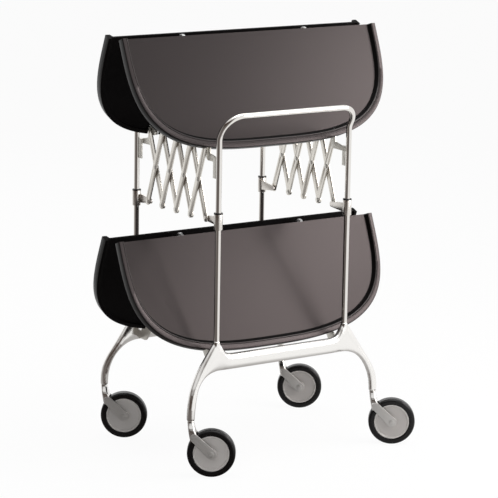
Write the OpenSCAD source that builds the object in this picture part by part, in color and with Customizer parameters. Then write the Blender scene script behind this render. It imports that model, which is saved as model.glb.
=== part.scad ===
/* [Frame] */
// Distance of each post from the middle of the trolley, side to side
post_x = 163; // [160:0.5:166]
// Distance of each tube frame from the middle, folded
frame_y = 156.34; // [154:0.01:160]
// Outer diameter of the tube
tube_d = 12; // [11.5:0.1:12.5]
// Wall of the tube
tube_wall = 1.2; // [1:0.1:2]
// Height at which the tube enters the casting
seam_z = 272; // [270:1:276]
// Depth of the socket that holds the tube
socket_depth = 20; // [15:1:22]
// Height of the bend below the handle
kink_z = 693.4; // [690:0.1:705]
// Outward lean of the handle
handle_lean = 32; // [28:1:36]
// Length of the handle beyond its bend
handle_len = 53.2; // [50:0.1:58]
// Radius of the lower bend
bend_r = 25; // [20:1:28]
// Radius of the handle's corners
corner_r = 40; // [34:1:42]

/* [Castings] */
// Distance of each caster's swivel from the middle, side to side
leg_x = 233; // [230:1:236]
// Outward step of the legs from the tube frame
leg_splay = 13.66; // [12:0.01:15]
// Height of the joint between leg and caster
leg_z = 117; // [116:1:119]
// Height of the beam's middle
beam_z = 225.5; // [224:0.5:227]
// Half the beam's height
beam_half = 16.5; // [15.5:0.5:17.5]
// Half the leg's width at the caster
leg_half = 8.3; // [8:0.1:9]
// Depth of the beam, front to back
beam_depth = 22; // [21:1:24]
// Radius of the bend from beam to leg
arch_r = 85; // [84:0.5:86]

/* [Casters] */
// Diameter of the wheel
wheel_d = 100; // [98:1:101]
// Width of the tyre
tyre_w = 25; // [24:1:25]
// Diameter of the wheel's disc
disc_d = 75; // [72:1:78]
// Distance of the axle behind the swivel
trail = 43; // [42:1:44]
// Direction in which the casters trail
trail_turn = -35.54; // [-90:0.01:90]
// Thickness of a fork cheek
cheek_t = 3; // [2.5:0.5:4]

/* [Trays] */
// Half the tray's length
tray_half_x = 318; // [316:1:320]
// Reach of a tray half from its hinge
tray_reach = 244.5; // [243.5:0.5:246]
// How much further the lower tray sticks out on each side
lower_widen = 5.5; // [5:0.5:6]
// How much further the lower tray reaches from its hinge
lower_extend = 9.5; // [9:0.5:10]
// Lean of a folded tray half from upright
tray_lean = 22.5; // [22:0.1:23]
// Height of the upper tray's carrying pivots
upper_pivot_z = 669.35; // [668.5:0.05:670]
// Height of the lower tray's carrying pivots
lower_pivot_z = 253.6; // [253:0.1:254.5]
// Distance of the carrying pivot from the tray's outer end
pivot_inset = 16.5; // [16:0.5:17.5]
// Height of the carrying pivot over the hinge
pivot_n = 12; // [11.5:0.1:12.5]
// Level of the rim's top over the hinge
rim_top = 37; // [36:0.5:38]
// Level of the rim's underside over the hinge
rim_bottom = 20; // [20:0.5:21]
// Level of the panel's top over the hinge
panel_top = 28.5; // [28:0.5:30]
// Thickness of the panel
panel_t = 4; // [3.5:0.5:4]
// Width of the rim
rim_w = 12; // [11:0.5:13]

/* [Lattice] */
// Length of a lattice bar between its end pivots
bar_len = 163; // [162.9:0.01:163.1]
// Width of a lattice bar
bar_w = 15; // [14:0.5:15]
// Thickness of a lattice bar
bar_t = 2.5; // [2:0.1:2.5]
// Step from a tray's carrying pivot out to the lattice's end pivots
pivot_step = 10.5; // [10:0.1:11]
// Height of the lattice's upper pivots
top_pivot_z = 674; // [673.5:0.1:674]
// Radius of the rivets
rivet_r = 2.5; // [2:0.1:3]
// Radius of the rivet heads
head_r = 4.5; // [4:0.1:4.5]
// Diameter of the sliding collars
collar_d = 18; // [17:0.5:19]
// Drop of a collar's lower end below the lattice's lower pivots
collar_drop = 15.85; // [15:0.01:17]
// Length of a collar
collar_len = 32; // [31:1:33]

/* [Brackets] */
// Distance of the curved arm's root inside the post
root_inset = 14.04; // [13.5:0.01:14.5]
// Half the width of the curved arm at its root
root_r = 5; // [4.5:0.5:5.5]
// Width of the strip on the post
strip_w = 20; // [19.5:0.5:20.5]
// Height of the strip on the post
strip_h = 42; // [40:1:44]
// Drop of the strip's lower end below the lattice's upper pivots
strip_drop = 66; // [65:0.5:67]
// Reach of the curved arm's elbow beyond the lattice's end pivots
elbow_reach = 3.16; // [3:0.01:4]
// Drop of the elbow below the lattice's upper pivots
elbow_drop = 25.7; // [25:0.1:26.5]
// Half the width of the curved arm
arm_half_w = 8; // [7.5:0.5:8]
// Radius of a plate's end round a tray pivot
lug_r = 7; // [6.5:0.5:7]
// Radius of an arm's end round a lattice pivot
eye_r = 6; // [5.5:0.5:6.5]
// Half the width of a collar's arm at the collar
arm_root_r = 9.5; // [9:0.5:10]
// Length of the tongue let into the casting
tongue_w = 24; // [22:1:26]
// Height of the tongue let into the casting
tongue_h = 17; // [16:1:18]
// Radius of the plate's end beside the casting
tongue_half = 14; // [13:0.5:14.5]
// Distance of the tongue's end inside the tube frame
tongue_inset = 6.34; // [6:0.01:7]

/* [Hidden] */
run_gap = 0.05;
seat_gap = 0.02;
edge_gap = 0.1;
trim = 0.985;
past = 1;
upper_curve = [3.45, 3.4];
lower_curve = [2.9, 3.7];
upper_notch = [[-8.5, 31.6]];
lower_notch = [[8, 34.5], [2, 24.2], [-6.5, 24.2]];
tube_r = tube_d / 2;
socket_z = seam_z - socket_depth;
leg_y = frame_y + leg_splay;
wheel_r = wheel_d / 2;
disc_r = disc_d / 2;
pivot_u = tray_reach - pivot_inset;
pivot_y = pivot_u * sin(tray_lean) + pivot_n * cos(tray_lean);
hinge_rise = pivot_u * cos(tray_lean) - pivot_n * sin(tray_lean);
end_y = pivot_y + pivot_step;
pitch = end_y / 2;
bar_rise = sqrt(bar_len * bar_len - pitch * pitch);
low_pivot_z = top_pivot_z - bar_rise;
collar_z = low_pivot_z - collar_drop;
tongue_z = beam_z + 2.5;
plate_x = 156.6;
plate_t = 3;
strip_x = 161.5;
inner_x = 160.3;
outer_x = 163.2;
strap_t = 3;
strap_out_x = 153.5;
strap_in_x = 150.3;
swivel_r = 4;
swivel_len = 22;
shoulder_r = 6;
swivel_gap = 0.4;
tyre_reach_r = (wheel_r - shoulder_r) * abs(sin(trail_turn));
tyre_reach_w = (tyre_w / 2 - shoulder_r) * cos(trail_turn);
front_reach = leg_y - trail * sin(trail_turn) + tyre_reach_r + tyre_reach_w + shoulder_r;
rear_reach = frame_y + handle_len * sin(handle_lean) + tube_r;
mid_shift = (front_reach - rear_reach) / 2;
$fn = 64;

// Colours as they look on the trolley
chrome_c = [0.86, 0.87, 0.88];
cast_c = [0.93, 0.93, 0.91];
plate_c = [0.80, 0.78, 0.72];
bar_c = [0.75, 0.73, 0.68];
tray_c = [0.27, 0.25, 0.24];
strap_c = [0.66, 0.66, 0.65];
black_c = [0.10, 0.09, 0.10];
fork_c = [0.72, 0.71, 0.69];
disc_c = [0.57, 0.56, 0.54];

// The front half of the trolley is drawn at -Y, and the rear half is the
// same half turned about the upright axis
module at_front() translate([0, mid_shift, 0]) children();
module at_rear() translate([0, mid_shift, 0]) rotate([0, 0, 180]) children();

// A shape drawn in the side view (Y across, Z up) with its thickness along X
module side_plate(x0, t) {
  translate([x0, 0, 0]) rotate([90, 0, 90]) linear_extrude(t) children();
}

// A round bar along X
module pin_x(y, z, x0, x1, r) {
  translate([x0, y, z]) rotate([0, 90, 0]) cylinder(h = x1 - x0, r = r);
}

// A domed rivet head whose flat side is at x0
module head_x(y, z, x0, r, t, way) {
  pin_x(y, z, min(x0, x0 + way * t / 2), max(x0, x0 + way * t / 2), r);
  pin_x(y, z, min(x0, x0 + way * t), max(x0, x0 + way * t), r * 0.72);
}

// Two discs and the straight band that joins them
module link(p, q, rp, rq) {
  d = q - p;
  u = d / norm(d);
  v = [-u[1], u[0]];
  s = (rp - rq) / norm(d);
  a = u * s + v * sqrt(1 - s * s);
  b = u * s - v * sqrt(1 - s * s);
  union() {
    translate(p) circle(r = rp);
    translate(q) circle(r = rq);
    polygon([p + rp * trim * a, q + rq * trim * a, q + rq * trim * b, p + rp * trim * b]);
  }
}

// The bent tube of one frame, as a solid rod of radius r
module handle_slope() {
  translate([0, -frame_y, kink_z]) rotate([handle_lean, 0, 0]) children();
}

module tube_frame(r, low) {
  tangent = bend_r * tan(handle_lean / 2);
  for (side = [0, 1]) mirror([side, 0, 0]) {
    translate([post_x, -frame_y, low]) cylinder(h = kink_z - tangent - low, r = r);
    translate([post_x, -frame_y - bend_r, kink_z - tangent]) rotate([90, 0, 90])
      rotate_extrude(angle = handle_lean) translate([bend_r, 0]) circle(r = r);
    handle_slope() translate([post_x, 0, tangent])
      cylinder(h = handle_len - corner_r - tangent, r = r);
    handle_slope() translate([post_x - corner_r, 0, handle_len - corner_r])
      rotate([90, 0, 0]) rotate_extrude(angle = 90) translate([corner_r, 0]) circle(r = r);
    handle_slope() translate([0, 0, handle_len]) rotate([0, 90, 0])
      cylinder(h = post_x - corner_r, r = r);
  }
}

module bow() {
  color(chrome_c) difference() {
    tube_frame(tube_r, socket_z);
    tube_frame(tube_r - tube_wall, socket_z - past);
  }
}

// The arched casting: stations from the right leg's foot over the beam to
// the left foot, each [x, z, normal x, normal z, half thickness, half depth]
function arc_radius(a) = arch_r - 4 * pow(sin(2 * a), 2) + 0.5 * a / 90;
function arm_half(a) = 9.5 + (beam_half - 9.5) * pow(a / 90, 1.5);
arc_x = leg_x - arch_r;
arc_z = beam_z - arc_radius(90);
leg_steps = [for (k = [0:3]) [leg_x, leg_z + (arc_z - leg_z) * k / 4, 1, 0,
  leg_half + (9.5 - leg_half) * k / 4, 8]];
arc_steps = [for (a = [0:6:84]) [arc_x + arc_radius(a) * cos(a), arc_z + arc_radius(a) * sin(a),
  cos(a), sin(a), arm_half(a), 8 + (beam_depth / 2 - 8) * a / 90]];
beam_steps = [for (k = [0:3]) [arc_x * (1 - k / 4), beam_z, 0, 1, beam_half, beam_depth / 2]];
right_steps = concat(leg_steps, arc_steps, beam_steps);
left_steps = [for (k = [len(right_steps) - 1:-1:0]) let (s = right_steps[k])
  [-s[0], s[1], -s[2], s[3], s[4], s[5]]];
middle_step = [[0, beam_z, 0, 1, beam_half, beam_depth / 2]];
steps = concat(right_steps, middle_step, left_steps);
splay_low = leg_z + 20;

function splay_y(z) = -frame_y - leg_splay * min(1, max(0, (beam_z - z) / (beam_z - splay_low)));
function squared(c) = sign(c) * pow(abs(c), 0.72);

module arch_sweep() {
  n = 24;
  pts = [for (s = steps) for (k = [0:n - 1]) let (a = 360 * k / n,
    t = s[4] * squared(cos(a)), d = s[5] * squared(sin(a)))
    [s[0] + s[2] * t, splay_y(s[1]) + d, s[1] + s[3] * t]];
  last = len(steps) - 1;
  walls = [for (i = [0:last - 1]) for (k = [0:n - 1]) let (j = (k + 1) % n)
    for (f = [[i * n + k, (i + 1) * n + j, i * n + j], [i * n + k, (i + 1) * n + k, (i + 1) * n + j]]) f];
  foot = [for (k = [0:n - 1]) k];
  other_foot = [for (k = [n - 1:-1:0]) last * n + k];
  polyhedron(points = pts, faces = concat([foot], walls, [other_foot]), convexity = 6);
}

// The flared socket over the corner of the casting
module socket_flare() {
  translate([0, -frame_y, 0]) rotate([90, 0, 0]) linear_extrude(15, center = true) polygon([
    [post_x - 9.5, seam_z - 9], [post_x - 7, seam_z - 2], [post_x + 7, seam_z - 2],
    [190, 241], [211, 208.5], [196, 196], [134, 236], [147.6, 252]
  ]);
  translate([post_x, -frame_y, beam_z + 14.5]) cylinder(h = seam_z - beam_z - 14.5, r1 = 11, r2 = 7.8);
}

module casting() {
  color(cast_c) difference() {
    union() {
      arch_sweep();
      for (side = [0, 1]) mirror([side, 0, 0]) socket_flare();
    }
    for (side = [0, 1]) mirror([side, 0, 0]) {
      translate([post_x, -frame_y, socket_z]) cylinder(h = socket_depth + past, r = tube_r + run_gap);
      translate([leg_x, -leg_y, leg_z - past]) cylinder(h = swivel_len + past, r = swivel_r + run_gap);
      side_plate(plate_x, plate_t) lower_plate_shape();
    }
  }
}

// The plate that carries the lower tray's pivot
module lower_plate_shape() {
  link([-pivot_y, lower_pivot_z], [-frame_y + tongue_inset + tongue_w, tongue_z], lug_r, tongue_half);
  translate([-frame_y + tongue_inset, tongue_z - tongue_half]) square([tongue_w, tongue_h]);
}

// The strip on the post, of height h
module strip_shape(h) {
  translate([-frame_y, top_pivot_z - strip_drop + strip_h - h]) square([strip_w, h]);
}

// The curved arm that carries the upper pivots
module upper_arm_shape() {
  root = [-frame_y + root_inset, top_pivot_z - strip_drop + strip_h - root_r];
  elbow = [-end_y - elbow_reach, top_pivot_z - elbow_drop];
  link(root, elbow, root_r, arm_half_w);
  link(elbow, [-end_y, top_pivot_z], arm_half_w, eye_r);
  link([-end_y, top_pivot_z], [-pivot_y, upper_pivot_z], eye_r, lug_r);
}

// Pivot of a tray strap: the plate's own stud, pointing to the middle
module tray_stud(z, strap_x) {
  pin_x(-pivot_y, z, strap_x - 0.1, plate_x + past, 3.5);
  head_x(-pivot_y, z, strap_x - 0.1, 5.5, 1.2, -1);
  if (strap_x < strap_out_x) pin_x(-pivot_y, z, strap_out_x, plate_x + past, 5.5);
}

// Pivot of a lattice bar: a stud that points away from the middle
module bar_stud(y, z, bar_x) {
  face = plate_x + plate_t;
  pin_x(y, z, face - past, bar_x + bar_t + 0.1, rivet_r);
  pin_x(y, z, face - past, bar_x - 0.1, head_r);
  head_x(y, z, bar_x + bar_t + 0.1, head_r, 1.2, 1);
}

module upper_bracket(bar_x, strap_x) {
  difference() {
    union() {
      side_plate(plate_x, plate_t) upper_arm_shape();
      side_plate(strip_x, plate_t) strip_shape(strip_h);
      side_plate(plate_x, strip_x + plate_t - plate_x) strip_shape(2 * root_r);
    }
    translate([post_x, -frame_y, top_pivot_z - strip_drop - past])
      cylinder(h = strip_drop, r = tube_r);
  }
  tray_stud(upper_pivot_z, strap_x);
  bar_stud(-end_y, top_pivot_z, bar_x);
}

module lower_bracket(strap_x) {
  side_plate(plate_x, plate_t) lower_plate_shape();
  tray_stud(lower_pivot_z, strap_x);
}

module upper_brackets() {
  color(plate_c) {
    upper_bracket(inner_x, strap_in_x);
    mirror([1, 0, 0]) upper_bracket(outer_x, strap_out_x);
  }
}

module lower_brackets() {
  color(plate_c) {
    lower_bracket(strap_in_x);
    mirror([1, 0, 0]) lower_bracket(strap_out_x);
  }
}

// Collar that slides on a post and carries the lattice's lower end
module collar(bar_x) {
  color(chrome_c) difference() {
    union() {
      translate([post_x, -frame_y, collar_z]) cylinder(h = collar_len, r = collar_d / 2);
      side_plate(plate_x, plate_t)
        link([-frame_y + collar_d / 2, low_pivot_z], [-end_y, low_pivot_z], arm_root_r, eye_r);
      bar_stud(-end_y, low_pivot_z, bar_x);
    }
    translate([post_x, -frame_y, collar_z - past])
      cylinder(h = collar_len + 2 * past, r = tube_r + run_gap);
  }
}

module collar_ring() {
  color(black_c) translate([post_x, -frame_y, collar_z + collar_len]) difference() {
    cylinder(h = 3, r = collar_d / 2 + 0.3);
    translate([0, 0, -past]) cylinder(h = 3 + 2 * past, r = tube_r + 2 * run_gap);
  }
}

// Lattice pivots on the right side, counted from the rear to the front
function top_point(i) = [end_y - i * pitch, top_pivot_z];
function low_point(i) = [end_y - i * pitch, low_pivot_z];
function cross_point(i) = [end_y - (i - 0.5) * pitch, (top_pivot_z + low_pivot_z) / 2];

module bar_blank(p, q, x) {
  v = [p[1] - q[1], q[0] - p[0]] * trim * bar_w / 2 / norm(q - p);
  side_plate(x, bar_t) polygon([p + v, q + v, q - v, p - v]);
  pin_x(p[0], p[1], x, x + bar_t, bar_w / 2);
  pin_x(q[0], q[1], x, x + bar_t, bar_w / 2);
}

module rivet(p) {
  pin_x(p[0], p[1], inner_x - 0.1, outer_x + past, rivet_r);
  head_x(p[0], p[1], outer_x + bar_t, head_r, 1, 1);
  head_x(p[0], p[1], inner_x - 0.1, head_r, 1, -1);
}

module outer_half_rivet(p) head_x(p[0], p[1], outer_x + bar_t, head_r, 1, 1);
module inner_half_rivet(p) head_x(p[0], p[1], inner_x, head_r, 1, -1);

module bar_bore(p) pin_x(p[0], p[1], inner_x - past, outer_x + bar_t + past, rivet_r + run_gap);

// Outer bar i falls from the rear to the front and owns the rivets; the one
// in the middle of each row is in two halves
module falling_bar(i) {
  color(bar_c) difference() {
    union() {
      bar_blank(top_point(i - 1), low_point(i), outer_x);
      rivet(cross_point(i));
      if (i == 2 || i == 4) rivet(top_point(i - 1));
      if (i == 3) outer_half_rivet(top_point(2));
      if (i == 1 || i == 3) rivet(low_point(i));
      if (i == 2) outer_half_rivet(low_point(2));
    }
    if (i == 1) bar_bore(top_point(0));
    if (i == 4) bar_bore(low_point(4));
  }
}

// Inner bar i rises from the rear to the front and turns on the rivets
module rising_bar(i) {
  color(bar_c) difference() {
    union() {
      bar_blank(low_point(i - 1), top_point(i), inner_x);
      if (i == 2) inner_half_rivet(top_point(2));
      if (i == 3) inner_half_rivet(low_point(2));
    }
    bar_bore(cross_point(i));
    if (i != 3) bar_bore(low_point(i - 1));
    if (i != 2) bar_bore(top_point(i));
  }
}

// A tray half laid flat at -Y with its hinge on the X axis
function oval(w, b, curve, n) = [for (k = [0:n]) let (a = 180 * k / n)
  [w * sign(cos(a)) * pow(abs(cos(a)), 2 / curve[0]), -max(edge_gap, b * pow(sin(a), 2 / curve[1]))]];

module folded(pivot_z) {
  translate([0, 0, pivot_z + hinge_rise]) rotate([90 - tray_lean, 0, 0]) children();
}

module tray_half(half_x, reach, curve, notch) {
  low = rim_bottom - past;
  cut = concat([[-pivot_u - notch[len(notch) - 1][0], low], [-reach - past, low]],
    [[-reach - past, notch[0][1]]], [for (q = notch) [-pivot_u - q[0], q[1]]]);
  color(tray_c) difference() {
    union() {
      translate([0, 0, rim_bottom]) linear_extrude(rim_top - rim_bottom) difference() {
        polygon(oval(half_x, reach, curve, 72));
        polygon(oval(half_x - rim_w, reach - rim_w - 3, curve, 72));
        translate([-half_x, -2 * edge_gap]) square([2 * half_x, past]);
      }
      translate([0, 0, panel_top - panel_t]) linear_extrude(panel_t)
        polygon(oval(half_x - rim_w + 0.5, reach - rim_w - 2.5, curve, 72));
    }
    for (side = [0, 1]) mirror([side, 0, 0]) side_plate(plate_x - 0.4, 11) polygon(cut);
  }
}

module upper_tray() tray_half(tray_half_x, tray_reach, upper_curve, upper_notch);
module lower_tray()
  tray_half(tray_half_x + lower_widen, tray_reach + lower_extend, lower_curve, lower_notch);

// The strap under a tray half: hinge boss, rib, flange and pivot end
module strap(x, outer) {
  flange_t = 1.5;
  under = panel_top - panel_t;
  rib_end = pivot_u - 28;
  difference() {
    union() {
      side_plate(x, strap_t) {
        circle(r = 10.5);
        polygon([[-4, -9.5], [-16, 8], [-rib_end, 8], [-pivot_u, pivot_n - 6.4],
          [-pivot_u, pivot_n + 6.4], [9 - pivot_u, 19], [14 - pivot_u, under], [-16, under], [-4, 9.5]]);
        translate([-pivot_u, pivot_n]) circle(r = 6.5);
      }
      translate([x - 12, -rib_end, under - flange_t]) cube([12 + past, rib_end - 32, flange_t]);
      for (u = [44, rib_end / 2 + 16, rib_end - 12]) translate([x - 6, -u, under - flange_t - 1.4])
        cylinder(h = 1.4 + flange_t / 2, r = 3);
      if (!outer) {
        pin_x(0, 0, x, strap_out_x + strap_t + 0.1, 4);
        head_x(0, 0, strap_out_x + strap_t + 0.1, 6.5, 1.6, 1);
        head_x(0, 0, x, 6.5, 1.6, -1);
      }
    }
    pin_x(-pivot_u, pivot_n, x - past, x + strap_t + past, 3.5 + run_gap);
    if (outer) pin_x(0, 0, x - past, x + strap_t + past, 4 + run_gap);
  }
}

module strap_pair() {
  color(strap_c) {
    strap(strap_in_x, false);
    mirror([1, 0, 0]) strap(strap_out_x, true);
  }
}

// Casters: the fork is drawn with its swivel on the Z axis, trailing to +X
module caster_place(x, y) {
  translate([x * leg_x, y * leg_y + mid_shift, 0]) rotate([0, 0, trail_turn]) children();
}

module fork() {
  cheek_y = tyre_w / 2 + 1;
  top = leg_z - swivel_gap;
  color(fork_c) difference() {
    union() {
      intersection() {
        rotate([90, 0, 0]) linear_extrude(60, center = true) polygon([
          [-6.75, top], [6.75, top], [7.5, 104], [12, 90], [18, 77], [8, 72], [-1, 74], [-6, 95]
        ]);
        rotate([90, 0, 90]) linear_extrude(60, center = true) polygon([
          [-6.75, top], [6.75, top], [8, 111], [cheek_y + cheek_t, 97], [cheek_y + cheek_t, 60],
          [-cheek_y - cheek_t, 60], [-cheek_y - cheek_t, 97], [-8, 111]
        ]);
      }
      for (side = [-1, 1]) translate([0, side * (cheek_y + cheek_t / 2), 0]) rotate([90, 0, 0])
        linear_extrude(cheek_t, center = true) link([8, 84], [trail, wheel_r], 8.5, 10.5);
      translate([0, 0, top - past]) cylinder(h = swivel_len - 2 + past, r = swivel_r);
    }
    translate([trail, 0, wheel_r]) rotate([90, 0, 0])
      cylinder(h = 2 * cheek_y, r = wheel_r + 2.5, center = true);
    translate([trail, 0, wheel_r]) rotate([90, 0, 0])
      cylinder(h = 60, r = swivel_r + seat_gap, center = true);
  }
}

module axle() {
  reach = tyre_w / 2 + 1 + cheek_t;
  color(chrome_c) translate([trail, 0, wheel_r]) rotate([90, 0, 0]) {
    cylinder(h = 2 * reach, r = swivel_r, center = true);
    for (side = [0, 1]) mirror([0, 0, side]) translate([0, 0, reach]) {
      cylinder(h = 1, r = 6.5);
      cylinder(h = 1.8, r = 5);
    }
  }
}

module disc() {
  color(disc_c) translate([trail, 0, wheel_r]) rotate([90, 0, 0]) difference() {
    rotate_extrude() polygon([
      [0, -tyre_w / 2 - 0.6], [10, -tyre_w / 2 - 0.6], [11, -8], [disc_r - 5, -9.5],
      [disc_r - 2.4, -11.2], [disc_r, -11.2], [disc_r, 11.2], [disc_r - 2.4, 11.2],
      [disc_r - 5, 9.5], [11, 8], [10, tyre_w / 2 + 0.6], [0, tyre_w / 2 + 0.6]
    ]);
    cylinder(h = 60, r = swivel_r + run_gap, center = true);
  }
}

module tyre() {
  shoulder = [for (a = [0:15:90]) [wheel_r - shoulder_r + shoulder_r * cos(a),
    tyre_w / 2 - shoulder_r + shoulder_r * sin(a)]];
  other = [for (k = [len(shoulder) - 1:-1:0]) [shoulder[k][0], -shoulder[k][1]]];
  inner = disc_r + seat_gap;
  color(black_c) translate([trail, 0, wheel_r]) rotate([90, 0, 0])
    rotate_extrude() polygon(concat([[inner, tyre_w / 2 - 1]], [[inner + 1, tyre_w / 2]],
      [for (k = [len(shoulder) - 1:-1:0]) shoulder[k]],
      [for (k = [len(other) - 1:-1:0]) other[k]],
      [[inner + 1, -tyre_w / 2]], [[inner, -tyre_w / 2 + 1]]));
}

module rear_bow() at_rear() bow();
module front_bow() at_front() bow();
module rear_casting() at_rear() casting();
module front_casting() at_front() casting();
module rear_upper_brackets() at_rear() upper_brackets();
module front_upper_brackets() at_front() upper_brackets();
module rear_lower_brackets() at_rear() lower_brackets();
module front_lower_brackets() at_front() lower_brackets();
module upper_rear_tray() at_rear() folded(upper_pivot_z) upper_tray();
module upper_front_tray() at_front() folded(upper_pivot_z) upper_tray();
module lower_rear_tray() at_rear() folded(lower_pivot_z) lower_tray();
module lower_front_tray() at_front() folded(lower_pivot_z) lower_tray();
module upper_rear_straps() at_rear() folded(upper_pivot_z) strap_pair();
module upper_front_straps() at_front() folded(upper_pivot_z) strap_pair();
module lower_rear_straps() at_rear() folded(lower_pivot_z) strap_pair();
module lower_front_straps() at_front() folded(lower_pivot_z) strap_pair();

module right_fall_bar_a() at_front() falling_bar(1);
module right_fall_bar_b() at_front() falling_bar(2);
module right_fall_bar_c() at_front() falling_bar(3);
module right_fall_bar_d() at_front() falling_bar(4);
module right_rise_bar_a() at_front() rising_bar(1);
module right_rise_bar_b() at_front() rising_bar(2);
module right_rise_bar_c() at_front() rising_bar(3);
module right_rise_bar_d() at_front() rising_bar(4);
module left_fall_bar_a() at_rear() rising_bar(4);
module left_fall_bar_b() at_rear() rising_bar(3);
module left_fall_bar_c() at_rear() rising_bar(2);
module left_fall_bar_d() at_rear() rising_bar(1);
module left_rise_bar_a() at_rear() falling_bar(4);
module left_rise_bar_b() at_rear() falling_bar(3);
module left_rise_bar_c() at_rear() falling_bar(2);
module left_rise_bar_d() at_rear() falling_bar(1);

module rear_left_collar() at_rear() collar(outer_x);
module rear_right_collar() at_rear() mirror([1, 0, 0]) collar(inner_x);
module front_left_collar() at_front() mirror([1, 0, 0]) collar(inner_x);
module front_right_collar() at_front() collar(outer_x);
module rear_left_ring() at_rear() collar_ring();
module rear_right_ring() at_rear() mirror([1, 0, 0]) collar_ring();
module front_left_ring() at_front() mirror([1, 0, 0]) collar_ring();
module front_right_ring() at_front() collar_ring();

module rear_left_fork() caster_place(-1, 1) fork();
module rear_right_fork() caster_place(1, 1) fork();
module front_left_fork() caster_place(-1, -1) fork();
module front_right_fork() caster_place(1, -1) fork();
module rear_left_axle() caster_place(-1, 1) axle();
module rear_right_axle() caster_place(1, 1) axle();
module front_left_axle() caster_place(-1, -1) axle();
module front_right_axle() caster_place(1, -1) axle();
module rear_left_disc() caster_place(-1, 1) disc();
module rear_right_disc() caster_place(1, 1) disc();
module front_left_disc() caster_place(-1, -1) disc();
module front_right_disc() caster_place(1, -1) disc();
module rear_left_tyre() caster_place(-1, 1) tyre();
module rear_right_tyre() caster_place(1, 1) tyre();
module front_left_tyre() caster_place(-1, -1) tyre();
module front_right_tyre() caster_place(1, -1) tyre();

rear_bow();
front_bow();
rear_casting();
front_casting();
rear_upper_brackets();
front_upper_brackets();
rear_lower_brackets();
front_lower_brackets();
upper_rear_tray();
upper_front_tray();
lower_rear_tray();
lower_front_tray();
upper_rear_straps();
upper_front_straps();
lower_rear_straps();
lower_front_straps();
right_fall_bar_a();
right_fall_bar_b();
right_fall_bar_c();
right_fall_bar_d();
right_rise_bar_a();
right_rise_bar_b();
right_rise_bar_c();
right_rise_bar_d();
left_fall_bar_a();
left_fall_bar_b();
left_fall_bar_c();
left_fall_bar_d();
left_rise_bar_a();
left_rise_bar_b();
left_rise_bar_c();
left_rise_bar_d();
rear_left_collar();
rear_right_collar();
front_left_collar();
front_right_collar();
rear_left_ring();
rear_right_ring();
front_left_ring();
front_right_ring();
rear_left_fork();
rear_right_fork();
front_left_fork();
front_right_fork();
rear_left_axle();
rear_right_axle();
front_left_axle();
front_right_axle();
rear_left_disc();
rear_right_disc();
front_left_disc();
front_right_disc();
rear_left_tyre();
rear_right_tyre();
front_left_tyre();
front_right_tyre();
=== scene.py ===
"""A folding serving trolley: two split oval trays between two tube frames on arched castings."""

import math

import bmesh
import bpy
import numpy as np
from mathutils import Matrix, Vector


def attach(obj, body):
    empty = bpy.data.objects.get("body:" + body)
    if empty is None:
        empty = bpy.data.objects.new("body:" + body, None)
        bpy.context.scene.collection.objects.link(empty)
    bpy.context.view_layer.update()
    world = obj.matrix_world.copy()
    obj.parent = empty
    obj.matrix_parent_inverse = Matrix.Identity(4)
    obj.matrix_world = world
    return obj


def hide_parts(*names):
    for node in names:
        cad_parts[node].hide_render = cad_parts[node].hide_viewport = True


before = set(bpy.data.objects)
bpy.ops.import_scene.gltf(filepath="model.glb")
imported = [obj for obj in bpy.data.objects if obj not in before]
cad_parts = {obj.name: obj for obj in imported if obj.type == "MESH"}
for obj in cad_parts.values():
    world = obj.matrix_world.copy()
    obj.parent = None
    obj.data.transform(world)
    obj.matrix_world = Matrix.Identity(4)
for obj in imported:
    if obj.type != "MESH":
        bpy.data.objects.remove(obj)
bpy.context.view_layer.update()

# Camera and studio
# A long lens from the front left, a little above the handles, over a pale
# seamless floor with soft light from above and from both sides.
MM = 0.001
MIDDLE_Y = 20.664
LENS = 175.29
TURN, DIP, TILT = 34.734, 11.683, -0.978
CAMERA_AT = (-2861.4, -4159.4 + MIDDLE_Y, 1464.0)

turn, dip, tilt = (math.radians(a) for a in (TURN, DIP, TILT))
ahead = Vector((math.sin(turn) * math.cos(dip), math.cos(turn) * math.cos(dip), -math.sin(dip)))
right = Vector((math.cos(turn), -math.sin(turn), 0))
down = ahead.cross(right)
side = math.cos(tilt) * right + math.sin(tilt) * down
under = -math.sin(tilt) * right + math.cos(tilt) * down
lens = bpy.data.cameras.new("photo_camera")
lens.lens = LENS
lens.sensor_width = 36
lens.clip_end = 60
camera = bpy.data.objects.new("photo_camera", lens)
camera.matrix_world = Matrix.Translation(Vector(CAMERA_AT) * MM) @ Matrix(
    (side, -under, -ahead)).transposed().to_4x4()
bpy.context.collection.objects.link(camera)
bpy.context.scene.camera = camera
bpy.context.scene.view_settings.view_transform = "Standard"


def soft_box(name, at, aim, size, power, tint=(1, 1, 1)):
    lamp = bpy.data.lights.new(name, "AREA")
    lamp.shape = "RECTANGLE"
    lamp.size, lamp.size_y = size
    lamp.energy = power
    lamp.color = tint
    box = bpy.data.objects.new(name, lamp)
    box.location = at
    box.rotation_euler = (Vector(aim) - Vector(at)).to_track_quat("-Z", "Y").to_euler()
    bpy.context.collection.objects.link(box)
    return box


soft_box("ceiling_light", (0.2, -0.3, 3.0), (0, 0, 0.4), (2.4, 2.4), 36)
soft_box("key_light", (0.84, -1.05, 0.78), (0.15, -0.1, 0.35), (0.85, 0.5), 6.2, (1, 0.94, 0.92))
soft_box("high_light", (1.42, -1.05, 1.42), (0.3, -0.1, 0.8), (0.7, 0.65), 12.5, (1, 0.95, 0.93))
soft_box("left_light", (-2.6, -2.2, 1.9), (0, 0, 0.45), (1.2, 2.0), 5).visible_glossy = False
soft_box("back_light", (0.6, 3.0, 2.2), (0, 0, 0.5), (2.2, 1.4), 16)


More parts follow.
